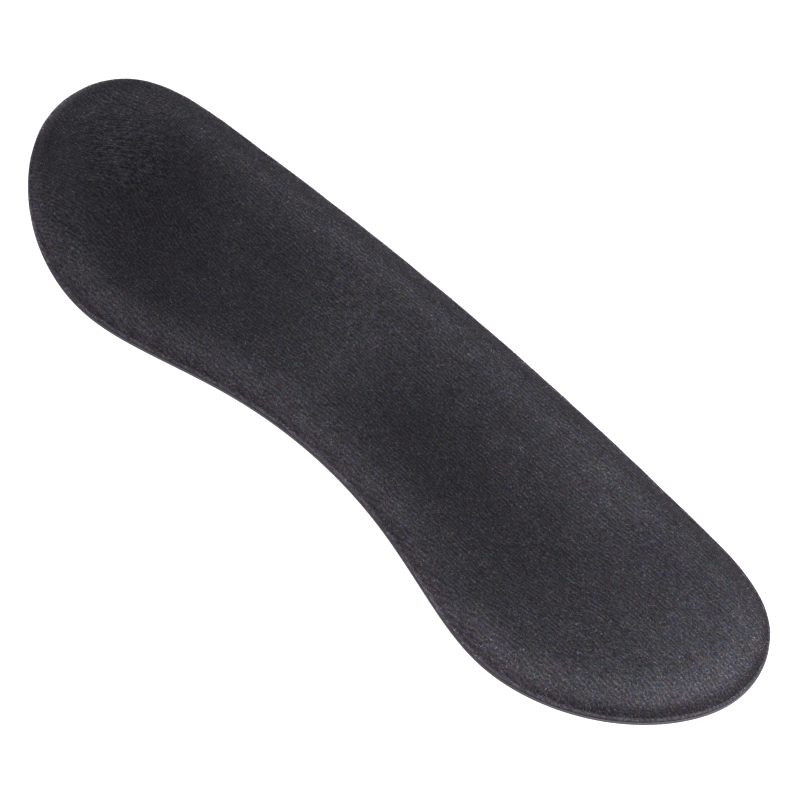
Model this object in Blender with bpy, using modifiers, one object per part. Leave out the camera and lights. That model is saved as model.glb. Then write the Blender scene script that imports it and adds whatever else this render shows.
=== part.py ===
"""Heel grip: a bean-shaped, self-adhesive pad for the inside of a shoe's heel.

It lies flat with its fabric face up. Metres, +X along the pad, +Y towards the
long convex edge, +Z up out of the fabric face. The origin is on the underside,
under the middle of the bounding box.

A brushed knit cover is moulded over a foam core into a low dome with a narrow
pressed lip, and a flat adhesive backing of the same outline closes it below.
"""

import math
from collections import namedtuple

import bpy
import numpy as np

# Driving sizes
LENGTH = 0.1000             # tip to tip
WIDTH = 0.0281              # convex edge to the lowest point of the lobes
WAIST_DEPTH = 0.0050        # how far the inner edge is drawn in at the middle
PAD_THICKNESS = 0.0040      # underside to crown
COVER_WALL = 0.0006         # brushed knit with its bonding layer
BACKING_THICKNESS = 0.0004  # adhesive on its carrier film
LIP_WIDTH = 0.00035         # flat pressed rim outside the dome
DOME_REACH = 0.0055         # from the lip's inner side to where the dome levels off
FOAM_EDGE = 0.0004          # least height of the foam's upright outer edge
CLEARANCE = 0.0003          # gap between pieces that touch

# Shape of the dome's wall: 1 is a straight ramp, higher is a steeper foot and a rounder shoulder
DOME_FULLNESS = 3.2

# Mesh fineness
CURVE_STEPS = 24            # points between two stations of the outline, before they are spaced evenly
ROUND_STEPS = 104           # points round the outline, a multiple of 4
WALL_RINGS = 8              # rings up the dome's wall
WALL_CROWDING = 1.6         # above 1 the wall's rings crowd towards its steep foot
FACE_RINGS = 3              # rings from the top of the wall to the spine
SMOOTH_ANGLE = math.radians(35)

# One half of the outline, from the middle of the convex edge round the end to the waist.
# along: share of half the length. down: share of the width, measured from the convex edge.
# waist: share of the waist depth by which the point is drawn back up.
Station = namedtuple("Station", "name along down waist")
OUTLINE = [
    Station("convex_middle", 0.000, 0.000, 0.00),
    Station("convex_third", 0.350, 0.014, 0.00),
    Station("convex_far", 0.650, 0.044, 0.00),
    Station("corner_start", 0.830, 0.080, 0.00),
    Station("corner", 0.930, 0.155, 0.00),
    Station("corner_end", 0.985, 0.280, 0.00),
    Station("tip", 1.000, 0.451, 0.00),
    Station("end_lower", 0.965, 0.626, 0.00),
    Station("lobe_side", 0.880, 0.801, 0.00),
    Station("lobe_turn", 0.750, 0.940, 0.00),
    Station("lobe_bottom", 0.590, 1.000, 0.00),
    Station("lobe_inner", 0.420, 1.000, 0.27),
    Station("waist_side", 0.220, 1.000, 0.78),
    Station("waist_middle", 0.000, 1.000, 1.00),
]

# Soft hollows pressed into the face.
# along, across: the centre, as shares of half the length and half the width.
# reach_along, reach_across: shares of the length and the width.
# depth: share of the foam's thickness.
Dent = namedtuple("Dent", "name along across reach_along reach_across depth")
DENTS = [
    Dent("left_lobe", -0.60, 0.02, 0.130, 0.330, 0.16),
    Dent("left_lobe_inner", -0.42, -0.42, 0.075, 0.200, 0.08),
    Dent("middle_right", 0.20, -0.02, 0.140, 0.300, 0.14),
    Dent("right_lobe", 0.52, -0.25, 0.110, 0.280, 0.06),
]

# Surface looks
Look = namedtuple("Look", "name colour roughness")
COVER_LOOK = Look("cover_knit", (0.030, 0.028, 0.034, 1.0), 0.95)
FOAM_LOOK = Look("foam", (0.045, 0.045, 0.050, 1.0), 0.90)
BACKING_LOOK = Look("adhesive_film", (0.050, 0.050, 0.055, 1.0), 0.35)

# Heights and depths that follow from the layers
FOAM_FLOOR = BACKING_THICKNESS + CLEARANCE
LIP_TOP = FOAM_FLOOR + COVER_WALL
DOME_RISE = PAD_THICKNESS - LIP_TOP
COVER_TO_FOAM = COVER_WALL + CLEARANCE
FOAM_THICKNESS = PAD_THICKNESS - COVER_TO_FOAM - FOAM_FLOOR


def clear_scene():
    for thing in list(bpy.data.objects):
        bpy.data.objects.remove(thing, do_unlink=True)


def outline_knots():
    """The outline's stations in metres, all the way round, clockwise from the convex middle."""
    half = []
    for station in OUTLINE:
        x = station.along * LENGTH / 2
        y = WIDTH / 2 - station.down * WIDTH + station.waist * WAIST_DEPTH
        half.append((x, y))
    other_half = [(-x, y) for x, y in reversed(half[1:-1])]
    return np.array(half + other_half)


def knot_tangents(knots, spans):
    """The tangents with which the closed cubic curve bends evenly through its knots."""
    count = len(knots)
    spans_before = np.roll(spans, 1)
    slopes = (np.roll(knots, -1, axis=0) - knots) / spans[:, None]
    slopes_before = np.roll(slopes, 1, axis=0)
    system = np.zeros((count, count))
    for i in range(count):
        system[i, i - 1] = spans[i]
        system[i, i] = 2 * (spans[i] + spans_before[i])
        system[i, (i + 1) % count] = spans_before[i]
    pull = 3 * (spans[:, None] * slopes_before + spans_before[:, None] * slopes)
    return np.linalg.solve(system, pull)


def closed_curve(knots):
    """A dense run of points along the closed cubic curve through the knots."""
    following = np.roll(knots, -1, axis=0)
    spans = np.sqrt(np.linalg.norm(following - knots, axis=1))
    tangents = knot_tangents(knots, spans)
    points = []
    for i, span in enumerate(spans):
        leave = tangents[i] * span
        arrive = tangents[(i + 1) % len(knots)] * span
        for t in np.arange(CURVE_STEPS) / CURVE_STEPS:
            points.append(
                (2 * t**3 - 3 * t**2 + 1) * knots[i]
                + (t**3 - 2 * t**2 + t) * leave
                + (3 * t**2 - 2 * t**3) * following[i]
                + (t**3 - t**2) * arrive
            )
    return np.array(points)


def even_outline():
    """The outline as ROUND_STEPS points, evenly spaced along it."""
    dense = closed_curve(outline_knots())
    closed = np.vstack([dense, dense[:1]])
    steps = np.linalg.norm(np.diff(closed, axis=0), axis=1)
    run = np.concatenate([[0], np.cumsum(steps)])
    stops = np.arange(ROUND_STEPS) / ROUND_STEPS * run[-1]
    return np.column_stack([np.interp(stops, run, closed[:, axis]) for axis in (0, 1)])


def inward_normals(outline):
    ahead = np.roll(outline, -1, axis=0) - np.roll(outline, 1, axis=0)
    inward = np.column_stack([ahead[:, 1], -ahead[:, 0]])
    return inward / np.linalg.norm(inward, axis=1)[:, None]


def opposite(i):
    """Index of the outline point across the pad, which shares point i's place on the spine."""
    return (ROUND_STEPS // 2 - i) % ROUND_STEPS


def spine_of(outline):
    """For each outline point, the point of the pad's middle line that it faces."""
    partners = [opposite(i) for i in range(ROUND_STEPS)]
    spine = (outline + outline[partners]) / 2
    spine[:, 0] *= 1 - WIDTH / LENGTH
    return spine


def dent_depth(x, y):
    total = 0.0
    for dent in DENTS:
        off_along = (x - dent.along * LENGTH / 2) / (dent.reach_along * LENGTH)
        off_across = (y - dent.across * WIDTH / 2) / (dent.reach_across * WIDTH)
        total += dent.depth * FOAM_THICKNESS * math.exp(-off_along**2 - off_across**2)
    return total


Ring = namedtuple("Ring", "inset height dented")


def dome_wall(depth):
    """Rings up the dome's wall, from lip to crown, moved inwards from its outer surface by depth.

    A ring has its inset from the outline, its height, and the share of a dent that it takes.
    """
    rings = []
    for step in range(WALL_RINGS):
        way = (step / (WALL_RINGS - 1)) ** WALL_CROWDING
        risen = 1 - (1 - way) ** DOME_FULLNESS
        slope = DOME_RISE / DOME_REACH * DOME_FULLNESS * (1 - way) ** (DOME_FULLNESS - 1)
        tilt = math.atan(slope)
        inset = LIP_WIDTH + way * DOME_REACH + depth * math.sin(tilt)
        height = LIP_TOP + risen * DOME_RISE - depth * math.cos(tilt)
        rings.append(Ring(inset, height, risen**2))
    return rings


class PadSheet:
    """A sheet of quads over the pad's outline, built ring by ring from a rim in to the spine."""

    def __init__(self):
        self.outline = even_outline()
        self.spine = spine_of(self.outline)
        self.to_spine = self.spine - self.outline
        self.room = (inward_normals(self.outline) * self.to_spine).sum(axis=1)
        self.verts = []
        self.faces = []

    def add_point(self, place, ring):
        x, y = place
        self.verts.append((x, y, ring.height - ring.dented * dent_depth(x, y)))
        return len(self.verts) - 1

    def add_ring(self, ring, to_spine=0.0):
        """A ring of points at the ring's inset, or that share of the way from there to the spine."""
        way = ring.inset / self.room
        way += (1 - way) * to_spine
        places = self.outline + self.to_spine * way[:, None]
        return [self.add_point(place, ring) for place in places]

    def add_spine(self, ring):
        """The middle line, where the rays from both long edges end in the same points."""
        points = {}
        for i in range(ROUND_STEPS):
            if opposite(i) in points:
                points[i] = points[opposite(i)]
            else:
                points[i] = self.add_point(self.spine[i], ring)
        return [points[i] for i in range(ROUND_STEPS)]

    def join(self, outer, inner):
        """Quads between two rings. They face up where inner is the one nearer the spine."""
        for i in range(ROUND_STEPS):
            j = (i + 1) % ROUND_STEPS
            self.faces.append((outer[j], outer[i], inner[i], inner[j]))

    def add_dome(self, foot, wall):
        """The dome from a foot ring's points, up the rings of the wall and in to the spine."""
        previous = foot
        for ring in wall:
            current = self.add_ring(ring)
            self.join(previous, current)
            previous = current
        crown = wall[-1]
        for step in range(1, FACE_RINGS):
            current = self.add_ring(crown, to_spine=step / FACE_RINGS)
            self.join(previous, current)
            previous = current
        self.join(previous, self.add_spine(crown))

    def to_object(self, name, collection):
        mesh = bpy.data.meshes.new(name)
        mesh.from_pydata(self.verts, [], self.faces)
        mesh.shade_smooth()
        mesh.set_sharp_from_angle(angle=SMOOTH_ANGLE)
        return new_object(name, mesh, collection)


def new_object(name, data, collection):
    thing = bpy.data.objects.new(name, data)
    collection.objects.link(thing)
    return thing


def new_material(look):
    material = bpy.data.materials.new(look.name)
    material.use_nodes = True
    material.diffuse_color = look.colour
    shader = material.node_tree.nodes["Principled BSDF"]
    shader.inputs["Base Color"].default_value = look.colour
    shader.inputs["Roughness"].default_value = look.roughness
    shader.inputs["Metallic"].default_value = 0.0
    return material


def build_cover(collection):
    """The knit cover: the domed face with its lip as an open surface, thickened inwards."""
    sheet = PadSheet()
    lip = sheet.add_ring(Ring(0.0, LIP_TOP, 0.0))
    sheet.add_dome(lip, dome_wall(0.0))
    cover = sheet.to_object("cover", collection)
    wall = cover.modifiers.new("wall", "SOLIDIFY")
    wall.thickness = COVER_WALL
    wall.offset = -1.0
    wall.use_even_offset = True
    cover.data.materials.append(new_material(COVER_LOOK))


def build_foam_core(collection):
    """The foam core: it fills the cover's hollow, with a flat underside and a thin upright edge."""
    wall = [ring for ring in dome_wall(COVER_TO_FOAM) if ring.height > FOAM_FLOOR + FOAM_EDGE]
    floor = Ring(wall[0].inset, FOAM_FLOOR, 0.0)
    sheet = PadSheet()
    foot = sheet.add_ring(floor)
    sheet.add_dome(foot, wall)
    sheet.join(sheet.add_spine(floor), foot)
    foam = sheet.to_object("foam_core", collection)
    foam.data.materials.append(new_material(FOAM_LOOK))


def build_adhesive_backing(collection):
    """The backing: a flat sheet cut to the outline, with its sticky face down."""
    curve = bpy.data.curves.new("adhesive_backing", "CURVE")
    curve.dimensions = "2D"
    curve.fill_mode = "BOTH"
    curve.extrude = BACKING_THICKNESS / 2
    outline = even_outline()
    spline = curve.splines.new("POLY")
    spline.points.add(len(outline) - 1)
    for point, (x, y) in zip(spline.points, outline):
        point.co = (x, y, 0.0, 1.0)
    spline.use_cyclic_u = True
    curve.materials.append(new_material(BACKING_LOOK))
    backing = new_object("adhesive_backing", curve, collection)
    backing.location.z = BACKING_THICKNESS / 2


def main():
    clear_scene()
    collection = bpy.data.collections.new("heel_grip")
    bpy.context.scene.collection.children.link(collection)
    build_adhesive_backing(collection)
    build_foam_core(collection)
    build_cover(collection)


main()
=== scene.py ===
"""The heel grip, dressed: brushed black knit over the moulded pad, on a pale floor."""

import math
from collections import namedtuple

import bpy
import numpy as np
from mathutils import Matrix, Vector, noise


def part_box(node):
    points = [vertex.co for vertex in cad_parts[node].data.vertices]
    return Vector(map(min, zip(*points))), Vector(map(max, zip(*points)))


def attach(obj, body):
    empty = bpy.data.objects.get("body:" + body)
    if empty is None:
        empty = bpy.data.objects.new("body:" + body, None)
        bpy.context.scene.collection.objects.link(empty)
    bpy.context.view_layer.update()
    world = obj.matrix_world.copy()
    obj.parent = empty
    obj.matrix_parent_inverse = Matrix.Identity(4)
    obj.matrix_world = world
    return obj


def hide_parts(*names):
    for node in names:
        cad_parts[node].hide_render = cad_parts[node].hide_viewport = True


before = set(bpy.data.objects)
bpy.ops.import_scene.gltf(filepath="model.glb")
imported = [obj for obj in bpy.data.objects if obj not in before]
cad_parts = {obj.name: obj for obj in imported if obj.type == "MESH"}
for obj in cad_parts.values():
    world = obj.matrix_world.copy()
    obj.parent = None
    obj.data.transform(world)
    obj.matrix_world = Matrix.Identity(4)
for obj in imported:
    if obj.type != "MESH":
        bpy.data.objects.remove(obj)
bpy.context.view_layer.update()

MM = 0.001

# Form of the pad. Its outline and the heights of its layers come from the frame.
FUZZ = 0.06 * MM             # by which the brushed edge stands proud of the cut outline
LIP_WIDTH = 0.35 * MM
LIP_HEIGHT = 0.60 * MM       # the pressed knit, above the backing and its clearance
LIP_ROUND = 0.22 * MM        # rounding of the cut edge
LIP_CREASE = 0.05 * MM       # depth of the crease at the dome's foot
LIP_CREASE_RINGS = 2.0       # rings over which the crease fades out up the wall
DOME_REACH = 5.5 * MM
DOME_FULLNESS = 3.2
COVER_WALL = 0.60 * MM
LAYER_GAP = 0.02 * MM        # what stays between the bonded layers
FILM_ROUND = 0.06 * MM       # rounding of the backing's edges
FILM_TOP_LIMIT = 0.45 * MM   # height below which no fibre grows

# Fineness of the cover's mesh
ROUND_STEPS = 960            # points round the outline, a multiple of 4
WALL_RINGS = 34
WALL_CROWDING = 1.5
FACE_RINGS = 32
INNER_WALL_RINGS = 6
INNER_FACE_RINGS = 2
LIP_ROUND_RINGS = 4

# Soft hollows of the face: centre and reach in metres along and across, and depth
Hollow = namedtuple("Hollow", "name x y reach_x reach_y depth")
HOLLOWS = [
    Hollow("left_lobe", -30.0 * MM, 0.3 * MM, 13.0 * MM, 9.3 * MM, 0.38 * MM),
    Hollow("left_lobe_inner", -21.0 * MM, -5.9 * MM, 7.5 * MM, 5.6 * MM, 0.19 * MM),
    Hollow("middle_right", 10.0 * MM, -0.3 * MM, 14.0 * MM, 8.4 * MM, 0.34 * MM),
    Hollow("right_lobe", 26.0 * MM, -3.5 * MM, 11.0 * MM, 7.9 * MM, 0.14 * MM),
]

# Uneven swells of the face
RUMPLE_SIZE = 3.5 * MM
RUMPLE_HEIGHT = 0.035 * MM
RUMPLE_SEED = 3

# Painted shade and highlight of the rim, from the rim inwards: inset, the tone where the wall faces the
# near side and where it faces the far side, and how far the knit is pressed, which gives it a redder tint
RimShadingAndTint = namedtuple("RimShadingAndTint", "inset along against pressed")
RIM_SHADING_AND_TINT = [
    RimShadingAndTint(0.0 * MM, 1.80, 2.80, 1.0),
    RimShadingAndTint(0.3 * MM, 0.85, 2.00, 1.0),
    RimShadingAndTint(0.7 * MM, 1.00, 1.50, 1.0),
    RimShadingAndTint(1.2 * MM, 1.20, 1.35, 0.6),
    RimShadingAndTint(1.8 * MM, 1.20, 1.20, 0.2),
    RimShadingAndTint(2.8 * MM, 1.10, 1.30, 0.0),
    RimShadingAndTint(4.2 * MM, 1.00, 1.30, 0.0),
    RimShadingAndTint(6.0 * MM, 1.00, 1.05, 0.0),
]
# Direction of the near side, towards the camera; walls facing it get the near-side painted rim shading
NEAR_SIDE_HEADING = (0.71, -0.71)

# Painted shade and painted light on stretches of the near rim: centre and reach along the pad, centre and
# reach inwards, and strength
RimShade = namedtuple("RimShade", "name x reach_x inset reach_inset strength")
PAINTED_RIM_SHADES = [
    # right_end paints the shade of the steep wall; left_lobe paints light on the rim
    RimShade("right_end", 47 * MM, 11 * MM, 0.6 * MM, 0.45 * MM, -0.60),
    RimShade("left_lobe", -44 * MM, 6 * MM, 0.3 * MM, 1.1 * MM, 1.10),
]

# Patches that make the knit darker or lighter, partly brushed nap and partly painted light and shade, with
# painted highlights on shoulders and the right end: centre, reach and strength
Patch = namedtuple("Patch", "name x y reach_x reach_y strength")
NAP_AND_LIGHT_PATCHES = [
    Patch("middle_band", -30 * MM, -3 * MM, 55 * MM, 8 * MM, -0.35),
    Patch("left_lobe", -32 * MM, -1 * MM, 9 * MM, 8 * MM, -0.40),
    Patch("left_far_hollow", -34 * MM, 5 * MM, 5 * MM, 3 * MM, -0.30),
    Patch("left_far_shade", -18 * MM, 4 * MM, 5 * MM, 3 * MM, -0.20),
    Patch("left_near_shade", -26 * MM, -9 * MM, 8 * MM, 3 * MM, -0.30),
    Patch("left_near_rim", -33 * MM, -12 * MM, 6 * MM, 2 * MM, 0.20),
    Patch("left_end", -50 * MM, 1 * MM, 2 * MM, 9 * MM, 1.10),
    Patch("far_shoulder", -20 * MM, 12 * MM, 40 * MM, 3 * MM, 0.20),
    Patch("saddle", -5 * MM, -1 * MM, 4 * MM, 5 * MM, 0.30),
    Patch("middle", 8 * MM, 0 * MM, 8 * MM, 7 * MM, -0.30),
    Patch("waist_shoulder", 4 * MM, -10 * MM, 10 * MM, 3 * MM, 0.45),
    Patch("waist_near_rim", 18 * MM, -13 * MM, 6 * MM, 2 * MM, 0.50),
    Patch("right_lobe", 22 * MM, -3 * MM, 11 * MM, 6 * MM, -0.30),
    Patch("right_near_shade", 24 * MM, -10 * MM, 8 * MM, 2 * MM, -0.20),
    Patch("right_near_shoulder", 30 * MM, -13 * MM, 10 * MM, 2 * MM, 0.25),
    Patch("right_far_light", 24 * MM, 8 * MM, 6 * MM, 3 * MM, 0.20),
    Patch("right_end", 45 * MM, 0 * MM, 6 * MM, 9 * MM, 0.30),
]

# Places where the knit is pulled askew: centre, reach, and by how much the ribs lean there
Pull = namedtuple("Pull", "name x y reach lean")
PULLS = [
    Pull("left_end", -41.0 * MM, 2.0 * MM, 6.5 * MM, -0.9),
    Pull("left_lobe", -27.0 * MM, -3.0 * MM, 9.0 * MM, 0.12),
    Pull("right_lobe", 30.0 * MM, -2.0 * MM, 12.0 * MM, -0.10),
]

# Places where the nap is rubbed into a coarse crinkle: centre, reach and strength
CRINKLES = [
    Patch("left_end", -39.0 * MM, 1.5 * MM, 6.0 * MM, 5.5 * MM, 1.0),
    Patch("left_near_rim", -37.0 * MM, -10.0 * MM, 7.0 * MM, 2.6 * MM, 0.6),
    Patch("saddle", -6.0 * MM, 5.0 * MM, 9.0 * MM, 4.0 * MM, 0.4),
    Patch("right_end", 38.0 * MM, -6.0 * MM, 9.0 * MM, 5.0 * MM, 0.4),
]

# Loose fibres of the nap, one thin triangle each
FIBRE_COUNT = 60000
FIBRE_LENGTH = 0.27 * MM
FIBRE_WIDTH = 0.045 * MM
FIBRE_LIFT = math.radians(24)
FIBRE_HEADING = math.radians(-15)
FIBRE_STRAY = math.radians(60)
FIBRE_LIFT_RANGE = (0.3, 1.7)      # least and most, as shares of the mean
FIBRE_LENGTH_RANGE = (0.5, 1.4)
FIBRE_TONE = (-0.2, 0.4)           # middle and spread of each fibre's own tone, as powers of e
FIBRE_SEED = 11
LOWEST_NORMAL = -0.3               # a face's three normals, summed, rise above this where fibres grow

# Camera: the photo's angle, distance and lens, from its outline
CAMERA_AZIMUTH = math.radians(45.0)
CAMERA_ELEVATION = math.radians(60.0)
CAMERA_DISTANCE = 0.4361
CAMERA_LENS = 188.5
CAMERA_SENSOR = 36.0
CAMERA_AIM = Vector((1.69 * MM, 2.01 * MM, 0.0))

# Knit: rib spacing in millimetres and the yarn's colour
RIB_PITCH_MM = 0.38
RIB_WANDER_MM = 0.9
YARN = (0.0117, 0.0113, 0.0139)
CREASE_TURN = math.radians(40)
PRESSED_TINT = (1.08, 0.98, 1.02)
DYE_SPAN = (0.62, 0.38, 0.74)
DYE_BASE = (0.69, 0.81, 0.63)

# Scales of the knit's noises along the pad, across it and up, per millimetre
WANDER_SCALE = (0.7, 0.7, 0.7)
FINE_SCALE = (5.2, 5.2, 5.2)
DASH_SCALE = (1.9, 4.6, 4.6)
MOTTLE_SCALE = (0.40, 0.55, 0.55)
CREASE_SCALE = (1.5, 3.4, 3.4)
DYE_SCALE = (1.3, 1.3, 1.3)

# How much each adds to the yarn's brightness, as a power of e
RIB_LIGHT = 0.54
FINE_LIGHT = 1.1
DASH_LIGHT = 1.3
MOTTLE_LIGHT = 0.8
CREASE_LIGHT = 3.8
# Painted glints: bright specks where the fine noise runs high
GLINT_LIGHT = 0.9
GLINT_RANGE = (0.64, 0.74)   # values of the fine noise between which a fleck comes up

# How much the ribs and creases add to the knit's relief, beside the grain
RIB_RELIEF = 0.30
CREASE_RELIEF = 3.0
KNIT_BUMP = 0.06 * MM

FIBRE_DARK = (0.012, 0.0112, 0.0132)
FIBRE_LIGHT = (0.070, 0.066, 0.075)
FILM_DARK = (0.024, 0.023, 0.027)
FILM_LIGHT = (0.036, 0.034, 0.040)
FILM_ROUGHNESS = (0.50, 0.62)
FILM_BUMP = 0.03 * MM
FOAM_DARK = (0.030, 0.030, 0.034)
FOAM_LIGHT = (0.060, 0.060, 0.066)
FOAM_CELLS_PER_MM = 3.0
FOAM_BUMP = 0.1 * MM

# Studio: soft lights round the pad. Size and distance in metres, power in watts.
Softbox = namedtuple("Softbox", "name azimuth elevation distance size power")
SOFTBOXES = [
    Softbox("right", 95.0, 38.0, 0.26, 0.16, 1.5),
    Softbox("near", 8.0, 50.0, 0.50, 0.30, 3.2),
]
SKY_STRENGTH = 0.7
FLOOR_SIZE = 6.0
FLOOR_TONE = 0.25
FLOOR_GLOW = 1.0


def smooth_noise(points, size, seed, octaves):
    """Noise from -1 to 1 at each point, with features of a size."""
    shift = Vector((seed * 3.1, seed * 1.7, seed * 0.9))
    values = []
    for point in points:
        place = Vector(point) / size + shift
        value = 0.0
        weight = 1.0
        for octave in range(octaves):
            value += weight * noise.noise(place * 2**octave)
            weight *= 0.5
        values.append(value)
    return np.array(values)


def frame_outline():
    """The pad's outline in the frame: the loop round the backing, clockwise from the convex middle."""
    low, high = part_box("adhesive_backing")
    middle = (low.z + high.z) / 2
    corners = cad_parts["adhesive_backing"].data.vertices
    loop = {(round(v.co.x, 6), round(v.co.y, 6)) for v in corners if v.co.z < middle}
    clockwise = sorted(loop, key=lambda p: (math.pi / 2 - math.atan2(p[1], p[0])) % (2 * math.pi))
    return np.array(clockwise)


def finer(loop, steps):
    """The same closed loop with more points, along its Fourier series."""
    waves = np.fft.fft(loop[:, 0] + 1j * loop[:, 1])
    half = len(loop) // 2
    spread = np.zeros(steps, complex)
    spread[:half] = waves[:half]
    spread[-half:] = waves[-half:]
    fine = np.fft.ifft(spread) * steps / len(loop)
    return np.column_stack([fine.real, fine.imag])


def inward_normals(outline):
    ahead = np.roll(outline, -1, axis=0) - np.roll(outline, 1, axis=0)
    inward = np.column_stack([ahead[:, 1], -ahead[:, 0]])
    return inward / np.linalg.norm(inward, axis=1)[:, None]


def opposite(i):
    """Index of the outline point across the pad, which shares point i's place on the spine."""
    return (ROUND_STEPS // 2 - i) % ROUND_STEPS


class PadSheet:
    """Quads over the pad's outline, added ring by ring from one spine line to the other."""

    def __init__(self, outline):
        self.outline = outline
        partners = [opposite(i) for i in range(ROUND_STEPS)]
        self.spine = (outline + outline[partners]) / 2
        size = outline.max(axis=0) - outline.min(axis=0)
        self.spine[:, 0] *= 1 - size[1] / size[0]
        self.to_spine = self.spine - outline
        inward = inward_normals(outline)
        self.room = (inward * self.to_spine).sum(axis=1)
        self.heading = -inward @ NEAR_SIDE_HEADING
        self.painted_tones = []
        self.pressed = []
        self.verts = []
        self.faces = []
        self.last = None

    def add_points(self, places, heights, insets, heading=0.0):
        first = len(self.verts)
        # Painted rim shade and highlight for each point
        self.painted_tones.extend(painted_rim_shading(places, insets, heading))
        self.pressed.extend(rim_curve(insets, "pressed"))
        self.verts.extend((x, y, z) for (x, y), z in zip(places, heights))
        return list(range(first, len(self.verts)))

    def join(self, ring):
        if self.last is not None:
            for i in range(ROUND_STEPS):
                j = (i + 1) % ROUND_STEPS
                self.faces.append((self.last[j], self.last[i], ring[i], ring[j]))
        self.last = ring

    def ring(self, inset, height, dented=0.0, to_spine=0.0):
        """A ring at an inset, or a share of the way from there to the spine."""
        way = inset / self.room
        way += (1 - way) * to_spine
        places = self.outline + self.to_spine * way[:, None]
        heights = height - dented * hollow_depth(places)
        self.join(self.add_points(places, heights, way * self.room, self.heading))

    def spine_line(self, height, dented=0.0):
        half = range(-ROUND_STEPS // 4, ROUND_STEPS // 4 + 1)
        own = [i % ROUND_STEPS for i in half]
        places = self.spine[own]
        heights = height - dented * hollow_depth(places)
        added = self.add_points(places, heights, self.room[own])
        index = dict(zip(own, added))
        index.update({opposite(i): index[i] for i in own})
        self.join([index[i] for i in range(ROUND_STEPS)])

    def to_object(self, name):
        mesh = bpy.data.meshes.new(name)
        mesh.from_pydata(self.verts, [], self.faces)
        mesh.shade_smooth()
        piece = bpy.data.objects.new(name, mesh)
        bpy.context.scene.collection.objects.link(piece)
        return piece


def hollow_depth(places):
    total = np.zeros(len(places))
    for hollow in HOLLOWS:
        off_x = (places[:, 0] - hollow.x) / hollow.reach_x
        off_y = (places[:, 1] - hollow.y) / hollow.reach_y
        total += hollow.depth * np.exp(-off_x**2 - off_y**2)
    return total


def dome_wall(rings, lip_top, crown, depth):
    """Inset, height and share of the hollows up the dome's wall, moved inwards by depth."""
    wall = []
    rise = crown - lip_top
    for step in range(rings):
        way = (step / (rings - 1)) ** WALL_CROWDING
        risen = 1 - (1 - way) ** DOME_FULLNESS
        slope = rise / DOME_REACH * DOME_FULLNESS * (1 - way) ** (DOME_FULLNESS - 1)
        tilt = math.atan(slope)
        inset = LIP_WIDTH + way * DOME_REACH + depth * math.sin(tilt)
        wall.append((inset, lip_top + risen * rise - depth * math.cos(tilt), risen**2))
    return wall


def rim_curve(insets, column):
    return np.interp(insets, [row.inset for row in RIM_SHADING_AND_TINT], [getattr(row, column) for row in RIM_SHADING_AND_TINT])


def painted_rim_shading(places, insets, heading):
    """Painted shade and highlight of the rim at these insets, for walls that face the near side (1) or the
    far side (-1).
    """
    facing = (1 + heading) / 2
    along = rim_curve(insets, "along")
    against = rim_curve(insets, "against")
    shade = np.zeros(len(places))
    for row in PAINTED_RIM_SHADES:
        off_x = (places[:, 0] - row.x) / row.reach_x
        off_inset = (insets - row.inset) / row.reach_inset
        shade += row.strength * np.exp(-off_x**2 - off_inset**2)
    return (against + (along - against) * facing) * np.exp(shade * facing)


def patch_sum(places, patches):
    total = np.zeros(len(places))
    for patch in patches:
        off_x = (places[:, 0] - patch.x) / patch.reach_x
        off_y = (places[:, 1] - patch.y) / patch.reach_y
        total += patch.strength * np.exp(-off_x**2 - off_y**2)
    return total


def build_cover(outline):
    """The knit cover: its underside from the spine out to the lip, then its face back in to the spine."""
    cover_low, cover_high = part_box("cover")
    film_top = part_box("adhesive_backing")[1].z
    foot = film_top + LAYER_GAP
    lip_top = cover_low.z + LIP_HEIGHT
    crown = cover_high.z
    sheet = PadSheet(outline)

    inner = dome_wall(INNER_WALL_RINGS, lip_top, crown, COVER_WALL)
    sheet.spine_line(inner[-1][1], 1.0)
    for step in range(INNER_FACE_RINGS, 0, -1):
        sheet.ring(inner[-1][0], inner[-1][1], 1.0, to_spine=step / (INNER_FACE_RINGS + 1))
    for inset, height, dented in reversed(inner[1:]):
        sheet.ring(inset, height, dented)
    sheet.ring(inner[1][0], foot)
    sheet.ring(LIP_ROUND / 2, foot)

    for step in range(LIP_ROUND_RINGS):
        turn = math.radians(90 * step / (LIP_ROUND_RINGS - 1))
        sheet.ring(LIP_ROUND * (1 - math.cos(turn)), lip_top - LIP_ROUND * (1 - math.sin(turn)))
    sheet.ring((LIP_ROUND + LIP_WIDTH) / 2, lip_top - LIP_CREASE * 0.3)
    for step, (inset, height, dented) in enumerate(dome_wall(WALL_RINGS, lip_top, crown, 0.0)):
        crease = LIP_CREASE * math.exp(-(step / LIP_CREASE_RINGS) ** 2)
        sheet.ring(inset, height - crease, dented)
    for step in range(1, FACE_RINGS):
        sheet.ring(LIP_WIDTH + DOME_REACH, crown, 1.0, to_spine=step / FACE_RINGS)
    sheet.spine_line(crown, 1.0)
    cover = sheet.to_object("knit_cover")
    rumple(cover.data)
    places = mesh_array(cover.data.vertices, "co")
    # Painted light and shade of the patches and the rim, with the nap's own tone, stored for the materials
    store(cover.data, "nap_and_painted_light", np.exp(patch_sum(places, NAP_AND_LIGHT_PATCHES)) * sheet.painted_tones)
    store(cover.data, "pressed", sheet.pressed)
    store(cover.data, "crinkle", patch_sum(places, CRINKLES))
    store(cover.data, "rib_shift", rib_shift(places))
    return cover


def mesh_array(items, field):
    values = np.zeros(len(items) * 3)
    items.foreach_get(field, values)
    return values.reshape(-1, 3)


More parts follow.
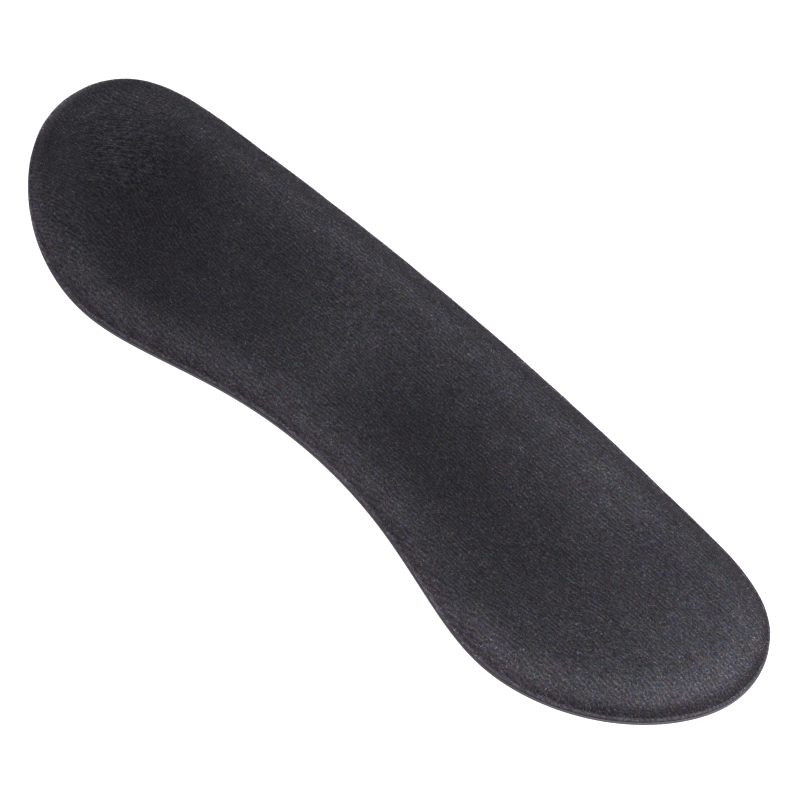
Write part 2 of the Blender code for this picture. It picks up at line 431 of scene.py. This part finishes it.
def rumple(mesh):
    """Moves the face's points along their normals, as a brushed knit over foam is never quite even."""
    places = mesh_array(mesh.vertices, "co")
    normals = mesh_array(mesh.vertex_normals, "vector")
    upper = normals[:, 2] > 0
    swell = smooth_noise(places[upper], RUMPLE_SIZE, RUMPLE_SEED, octaves=2)
    places[upper] += normals[upper] * (swell * RUMPLE_HEIGHT)[:, None]
    mesh.vertices.foreach_set("co", places.ravel())
    mesh.update()


def rib_shift(places):
    """By how many millimetres the ribs are pulled across the pad at each place."""
    total = np.zeros(len(places))
    for pull in PULLS:
        off = places[:, :2] - (pull.x, pull.y)
        near = np.exp(-(off**2).sum(axis=1) / pull.reach**2)
        total += pull.lean * off[:, 0] * near / MM
    return total


def store(mesh, name, values):
    mesh.attributes.new(name, "FLOAT", "POINT").data.foreach_set("value", values)


def build_fibres(cover):
    """Short fibres that stand up a little from the cover's outer surface, over the nap's whole area."""
    mesh = cover.data
    mesh.calc_loop_triangles()
    corners = np.zeros(len(mesh.loop_triangles) * 3, int)
    mesh.loop_triangles.foreach_get("vertices", corners)
    corners = corners.reshape(-1, 3)
    places = mesh_array(mesh.vertices, "co")
    normals = mesh_array(mesh.vertex_normals, "vector")
    # The knit's stored tone with its painted light and shade, which each fibre takes from its root
    painted_tones = np.zeros(len(places))
    mesh.attributes["nap_and_painted_light"].data.foreach_get("value", painted_tones)

    a, b, c = (places[corners[:, k]] for k in range(3))
    cross = np.cross(b - a, c - a)
    area = np.linalg.norm(cross, axis=1) * (normals[corners].sum(axis=1)[:, 2] > LOWEST_NORMAL)
    area *= a[:, 2] > FILM_TOP_LIMIT
    rng = np.random.default_rng(FIBRE_SEED)
    chosen = rng.choice(len(area), FIBRE_COUNT, p=area / area.sum())
    share = rng.dirichlet((1.0, 1.0, 1.0), FIBRE_COUNT)[:, :, None]
    root = (places[corners[chosen]] * share).sum(axis=1)
    up = (normals[corners[chosen]] * share).sum(axis=1)
    up /= np.linalg.norm(up, axis=1)[:, None]
    tone = (painted_tones[corners[chosen]] * share[:, :, 0]).sum(axis=1)

    turn = FIBRE_HEADING + rng.normal(0.0, FIBRE_STRAY, FIBRE_COUNT)
    ahead = np.column_stack([np.cos(turn), np.sin(turn), np.zeros(FIBRE_COUNT)])
    ahead -= up * (ahead * up).sum(axis=1)[:, None]
    ahead /= np.linalg.norm(ahead, axis=1)[:, None]
    side = np.cross(up, ahead)
    lift = FIBRE_LIFT * rng.uniform(*FIBRE_LIFT_RANGE, FIBRE_COUNT)[:, None]
    length = FIBRE_LENGTH * rng.uniform(*FIBRE_LENGTH_RANGE, FIBRE_COUNT)[:, None]
    reach = ahead * np.cos(lift) + up * np.sin(lift)
    half = side * FIBRE_WIDTH / 2
    points = np.stack([root - half, root + half, root + reach * length], axis=1).reshape(-1, 3)
    points[:, 2] = np.maximum(points[:, 2], FILM_TOP_LIMIT)

    fuzz = bpy.data.meshes.new("nap_fibres")
    fuzz.from_pydata(points.tolist(), [], np.arange(FIBRE_COUNT * 3).reshape(-1, 3).tolist())
    store(fuzz, "nap_and_painted_light", np.repeat(tone * np.exp(rng.normal(*FIBRE_TONE, FIBRE_COUNT)), 3))
    piece = bpy.data.objects.new("nap_fibres", fuzz)
    bpy.context.scene.collection.objects.link(piece)
    return piece


def build_backing(outline):
    """The adhesive film with its cut edge."""
    low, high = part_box("adhesive_backing")
    sheet = PadSheet(outline)
    sheet.spine_line(low.z)
    sheet.ring(FILM_ROUND, low.z)
    sheet.ring(0.0, low.z + FILM_ROUND)
    sheet.ring(0.0, high.z - FILM_ROUND)
    sheet.ring(FILM_ROUND, high.z)
    sheet.spine_line(high.z)
    return sheet.to_object("backing_film")


class Shader:
    """A material's node tree, with short calls for its nodes."""

    def __init__(self, name):
        self.material = bpy.data.materials.new(name)
        self.material.use_nodes = True
        self.tree = self.material.node_tree
        self.surface = self.tree.nodes["Principled BSDF"]

    def node(self, kind, **settings):
        made = self.tree.nodes.new(kind)
        for name, value in settings.items():
            setattr(made, name, value)
        return made

    def link(self, source, target):
        self.tree.links.new(source, target)

    def place(self, scale, turn=0.0):
        """Object coordinates along axes turned about Z, times a scale for each, per millimetre."""
        where = self.node("ShaderNodeTexCoord")
        scaled = self.node("ShaderNodeMapping", vector_type="TEXTURE")
        scaled.inputs["Rotation"].default_value[2] = turn
        scaled.inputs["Scale"].default_value = [MM / s for s in scale]
        self.link(where.outputs["Object"], scaled.inputs["Vector"])
        return scaled.outputs["Vector"]

    def noise(self, scale, detail=2.0, roughness=0.5, turn=0.0, output="Fac"):
        made = self.node("ShaderNodeTexNoise")
        made.inputs["Scale"].default_value = 1.0
        made.inputs["Detail"].default_value = detail
        made.inputs["Roughness"].default_value = roughness
        self.link(self.place(scale, turn), made.inputs["Vector"])
        return made.outputs[output]

    def math(self, operation, first, second, third=None):
        made = self.node("ShaderNodeMath", operation=operation)
        for socket, value in zip(made.inputs, (first, second, third)):
            if value is None:
                continue
            if isinstance(value, (int, float)):
                socket.default_value = value
            else:
                self.link(value, socket)
        return made.outputs["Value"]

    def vector(self, operation, first, second, third=None):
        made = self.node("ShaderNodeVectorMath", operation=operation)
        for socket, value in zip(made.inputs, (first, second, third)):
            if isinstance(value, tuple):
                socket.default_value = value
            elif value is not None:
                self.link(value, socket)
        return made.outputs["Vector"]

    def scaled(self, colour, factor):
        made = self.node("ShaderNodeVectorMath", operation="SCALE")
        self.link(colour, made.inputs[0])
        self.link(factor, made.inputs["Scale"])
        return made.outputs["Vector"]

    def constant(self, colour):
        made = self.node("ShaderNodeCombineXYZ")
        for socket, value in zip(made.inputs, colour):
            socket.default_value = value
        return made.outputs["Vector"]

    def attribute(self, name):
        return self.node("ShaderNodeAttribute", attribute_name=name).outputs["Fac"]

    def remap(self, value, low, high, to_low, to_high):
        made = self.node("ShaderNodeMapRange")
        for name, number in zip(
            ("From Min", "From Max", "To Min", "To Max"), (low, high, to_low, to_high)
        ):
            made.inputs[name].default_value = number
        self.link(value, made.inputs["Value"])
        return made.outputs["Result"]

    def bump(self, height, strength, distance):
        """Relief of the whole surface."""
        made = self.node("ShaderNodeBump")
        made.inputs["Strength"].default_value = strength
        made.inputs["Distance"].default_value = distance
        self.link(height, made.inputs["Height"])
        self.link(made.outputs["Normal"], self.surface.inputs["Normal"])

    def gloss(self, roughness, specular=0.5):
        self.surface.inputs["Roughness"].default_value = roughness
        self.surface.inputs["Specular IOR Level"].default_value = specular

    def mix(self, share, first, second):
        made = self.node("ShaderNodeMix", data_type="RGBA")
        made.inputs["A"].default_value = (*first, 1.0)
        made.inputs["B"].default_value = (*second, 1.0)
        self.link(share, made.inputs["Factor"])
        return made.outputs["Result"]


def knit_grain(shader):
    """Brightness of the yarn, as a power of e, and the height of its relief."""
    wander = shader.noise(WANDER_SCALE, detail=2.0)
    fine = shader.noise(FINE_SCALE, detail=1.0, roughness=0.6)
    dash = shader.noise(DASH_SCALE, detail=1.0, roughness=0.6)
    mottle = shader.noise(MOTTLE_SCALE, detail=3.0, roughness=0.6)
    crease = shader.noise(CREASE_SCALE, detail=1.0, roughness=0.6, turn=CREASE_TURN)
    crease = shader.math("MULTIPLY", shader.math("SUBTRACT", crease, 0.5), shader.attribute("crinkle"))

    # Ribs: a sine across the pad that wanders with the noise and is pulled askew in places
    split = shader.node("ShaderNodeSeparateXYZ")
    shader.link(shader.place((1.0, 1.0, 1.0)), split.inputs["Vector"])
    across = shader.math("MULTIPLY_ADD", wander, RIB_WANDER_MM, split.outputs["Y"])
    across = shader.math("ADD", across, shader.attribute("rib_shift"))
    angle = shader.math("MULTIPLY", across, 2 * math.pi / RIB_PITCH_MM)
    rib = shader.remap(shader.math("SINE", angle, 0.0), -1.0, 1.0, 0.0, 1.0)

    light = shader.math("MULTIPLY", shader.math("SUBTRACT", rib, 0.5), RIB_LIGHT)
    for grain, share in ((fine, FINE_LIGHT), (dash, DASH_LIGHT), (mottle, MOTTLE_LIGHT)):
        light = shader.math("MULTIPLY_ADD", shader.math("SUBTRACT", grain, 0.5), share, light)
    light = shader.math("MULTIPLY_ADD", crease, CREASE_LIGHT, light)
    # Painted glints: bright specks where the fine noise runs high
    light = shader.math("ADD", light, shader.remap(fine, *GLINT_RANGE, 0.0, GLINT_LIGHT))

    relief = shader.math("MULTIPLY_ADD", rib, RIB_RELIEF, shader.math("ADD", dash, fine))
    relief = shader.math("MULTIPLY_ADD", crease, CREASE_RELIEF, relief)
    return light, relief


def knit_material():
    """Brushed black knit: fine lengthwise ribs under a short nap, mottled, with painted glints and the
    painted light and shade stored on the mesh.
    """
    shader = Shader("brushed_knit")
    light, relief = knit_grain(shader)
    yarn = shader.scaled(shader.constant(YARN), shader.math("POWER", math.e, light))

    # Uneven dye, and the redder tint of the pressed rim
    dye = shader.noise(DYE_SCALE, detail=1.0, output="Color")
    cast = shader.vector("MULTIPLY_ADD", dye, DYE_SPAN, DYE_BASE)
    yarn = shader.vector("MULTIPLY", yarn, cast)
    press = shader.node("ShaderNodeCombineXYZ")
    for axis, tint in zip("XYZ", PRESSED_TINT):
        shader.link(shader.remap(shader.attribute("pressed"), 0.0, 1.0, 1.0, tint), press.inputs[axis])
    yarn = shader.vector("MULTIPLY", yarn, press.outputs["Vector"])
    # Painted light and shade: the tone stored on the mesh from the patches and the rim
    yarn = shader.scaled(yarn, shader.attribute("nap_and_painted_light"))
    shader.link(yarn, shader.surface.inputs["Base Color"])

    shader.bump(relief, strength=0.6, distance=KNIT_BUMP)
    shader.gloss(roughness=0.80, specular=0.04)
    return shader.material


def fibre_material():
    """The loose fibres: the knit's colour, a little lighter, times the painted light and shade of the knit
    below.
    """
    shader = Shader("nap_fibre")
    tint = shader.noise((1.5, 1.5, 1.5), detail=2.0)
    yarn = shader.scaled(shader.mix(tint, FIBRE_DARK, FIBRE_LIGHT), shader.attribute("nap_and_painted_light"))
    shader.link(yarn, shader.surface.inputs["Base Color"])
    shader.gloss(roughness=0.6, specular=0.10)
    return shader.material


def film_material():
    """The sticky backing film: dark, smooth, with a faint orange-peel."""
    shader = Shader("adhesive_film")
    cloud = shader.noise((0.25, 0.25, 0.25), detail=3.0)
    peel = shader.noise((1.1, 1.1, 1.1), detail=2.0)
    shader.link(shader.mix(cloud, FILM_DARK, FILM_LIGHT), shader.surface.inputs["Base Color"])
    shader.bump(peel, strength=0.3, distance=FILM_BUMP)
    shader.gloss(roughness=FILM_ROUGHNESS[0], specular=0.15)
    roughness = shader.remap(cloud, 0.3, 0.7, *FILM_ROUGHNESS)
    shader.link(roughness, shader.surface.inputs["Roughness"])
    return shader.material


def foam_material():
    """Fine-celled grey foam."""
    shader = Shader("foam_cells")
    cells = shader.node("ShaderNodeTexVoronoi")
    shader.link(shader.place((FOAM_CELLS_PER_MM,) * 3), cells.inputs["Vector"])
    cells.inputs["Scale"].default_value = 1.0
    grey = shader.mix(cells.outputs["Distance"], FOAM_DARK, FOAM_LIGHT)
    shader.link(grey, shader.surface.inputs["Base Color"])
    shader.bump(cells.outputs["Distance"], strength=0.5, distance=FOAM_BUMP)
    shader.gloss(roughness=0.9)
    return shader.material


def floor_material():
    shader = Shader("pale_floor")
    shader.surface.inputs["Base Color"].default_value = (FLOOR_TONE, FLOOR_TONE, FLOOR_TONE, 1.0)
    shader.surface.inputs["Emission Color"].default_value = (1.0, 1.0, 1.0, 1.0)
    shader.surface.inputs["Emission Strength"].default_value = FLOOR_GLOW
    shader.gloss(roughness=0.9, specular=0.0)
    return shader.material


def direction(azimuth, elevation):
    """Unit vector from the pad towards a place at this azimuth and elevation, in radians."""
    level = math.cos(elevation)
    return Vector((math.sin(azimuth) * level, -math.cos(azimuth) * level, math.sin(elevation)))


def aim(thing, target):
    thing.rotation_euler = (target - thing.location).to_track_quat("-Z", "Y").to_euler()


def build_camera():
    data = bpy.data.cameras.new("photo_camera")
    data.lens = CAMERA_LENS
    data.sensor_width = CAMERA_SENSOR
    data.clip_start = 0.01
    camera = bpy.data.objects.new("photo_camera", data)
    bpy.context.scene.collection.objects.link(camera)
    camera.location = CAMERA_AIM + direction(CAMERA_AZIMUTH, CAMERA_ELEVATION) * CAMERA_DISTANCE
    aim(camera, CAMERA_AIM)
    bpy.context.scene.camera = camera


def build_studio():
    floor_mesh = bpy.data.meshes.new("floor")
    half = FLOOR_SIZE / 2
    corners = [(-half, -half, 0), (half, -half, 0), (half, half, 0), (-half, half, 0)]
    floor_mesh.from_pydata(corners, [], [(0, 1, 2, 3)])
    floor = bpy.data.objects.new("floor", floor_mesh)
    bpy.context.scene.collection.objects.link(floor)
    floor.data.materials.append(floor_material())
    for box in SOFTBOXES:
        data = bpy.data.lights.new(box.name, "AREA")
        data.shape = "DISK"
        data.size = box.size
        data.energy = box.power
        light = bpy.data.objects.new(box.name, data)
        bpy.context.scene.collection.objects.link(light)
        light.location = direction(math.radians(box.azimuth), math.radians(box.elevation)) * box.distance
        aim(light, Vector((0.0, 0.0, 0.0)))
    world = bpy.data.worlds.new("studio")
    world.use_nodes = True
    sky = world.node_tree.nodes["Background"]
    sky.inputs["Color"].default_value = (1.0, 1.0, 1.0, 1.0)
    sky.inputs["Strength"].default_value = SKY_STRENGTH
    bpy.context.scene.world = world
    bpy.context.scene.view_settings.view_transform = "Standard"


def main():
    outline = finer(frame_outline(), ROUND_STEPS)
    outline -= inward_normals(outline) * FUZZ
    build_camera()
    build_studio()

    cover = build_cover(outline)
    cover.data.materials.append(knit_material())
    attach(cover, "root")
    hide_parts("cover")

    fibres = build_fibres(cover)
    fibres.data.materials.append(fibre_material())
    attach(fibres, "root")

    backing = build_backing(outline)
    backing.data.materials.append(film_material())
    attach(backing, "root")
    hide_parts("adhesive_backing")

    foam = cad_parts["foam_core"]
    foam.data.materials.clear()
    foam.data.materials.append(foam_material())


main()
